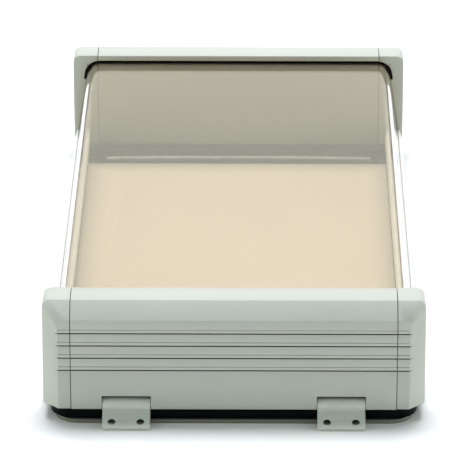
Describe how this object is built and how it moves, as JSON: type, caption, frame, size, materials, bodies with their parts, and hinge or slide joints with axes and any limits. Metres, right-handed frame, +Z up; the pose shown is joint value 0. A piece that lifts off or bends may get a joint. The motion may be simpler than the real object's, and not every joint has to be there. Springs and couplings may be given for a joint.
{
  "type": "hinged glazed cover",
  "caption": "Long low hinged cover: a clear bent hood between two grooved, beveled end bars on a flat board, with front hinges and rear quarter-turn locks.",
  "frame": {"origin": "middle of the object's footprint, on the plane that the board and the hinge leaves stand on", "axes": "+X along the end bars to the right, +Y from the hinges towards the locks, +Z up"},
  "size_m": [0.32, 0.6776, 0.1065],
  "materials": {
    "fibre_board": "smooth pressed fibre board",
    "bar_paint": "fine satin powder coat, light grey-green",
    "hinge_paint": "satin powder coat over a casting",
    "clear_acrylic": "polished clear sheet with a faint warm tint",
    "black_rubber": "smooth moulded rubber",
    "pale_rail": "satin extruded profile",
    "zinc_steel": "bright zinc plated",
    "lock_chrome": "satin chrome plated"
  },
  "bodies": {
    "base": {"base_board": "fibre_board", "left_hinge_leaf": "hinge_paint", "right_hinge_leaf": "hinge_paint", "left_hinge_pin": "zinc_steel", "right_hinge_pin": "zinc_steel", "left_keeper": "zinc_steel", "right_keeper": "zinc_steel", "left_keeper_screw_1": "zinc_steel", "left_keeper_screw_2": "zinc_steel", "right_keeper_screw_1": "zinc_steel", "right_keeper_screw_2": "zinc_steel"},
    "hood": {"front_bar": "bar_paint", "rear_bar": "bar_paint", "front_left_end_piece": "bar_paint", "front_right_end_piece": "bar_paint", "rear_left_end_piece": "bar_paint", "rear_right_end_piece": "bar_paint", "front_left_cleat": "zinc_steel", "front_right_cleat": "zinc_steel", "rear_left_cleat": "zinc_steel", "rear_right_cleat": "zinc_steel", "glazing": "clear_acrylic", "front_gasket": "black_rubber", "rear_gasket": "black_rubber", "base_seal": "black_rubber", "left_rail": "pale_rail", "right_rail": "pale_rail", "front_left_rail_screw": "zinc_steel", "front_right_rail_screw": "zinc_steel", "rear_left_rail_screw": "zinc_steel", "rear_right_rail_screw": "zinc_steel", "left_lock_body": "lock_chrome", "right_lock_body": "lock_chrome", "left_lock_nut": "zinc_steel", "right_lock_nut": "zinc_steel"},
    "left_lock": {"left_lock_core": "lock_chrome", "left_lock_cam": "zinc_steel", "left_cam_screw": "zinc_steel"},
    "right_lock": {"right_lock_core": "lock_chrome", "right_lock_cam": "zinc_steel", "right_cam_screw": "zinc_steel"}
  },
  "joints": [
    {"name": "hood_open", "type": "hinge", "parent": "base", "child": "hood", "pos_m": [0, -0.31719, 0.0152], "axis": [1, 0, 0], "range_deg": [0, 95]},
    {"name": "left_lock_turn", "type": "hinge", "parent": "hood", "child": "left_lock", "pos_m": [-0.09, 0.33681, 0.035], "axis": [0, 1, 0], "range_deg": [0, 90]},
    {"name": "right_lock_turn", "type": "hinge", "parent": "hood", "child": "right_lock", "pos_m": [0.09, 0.33681, 0.035], "axis": [0, 1, 0], "range_deg": [-90, 0]}
  ]
}
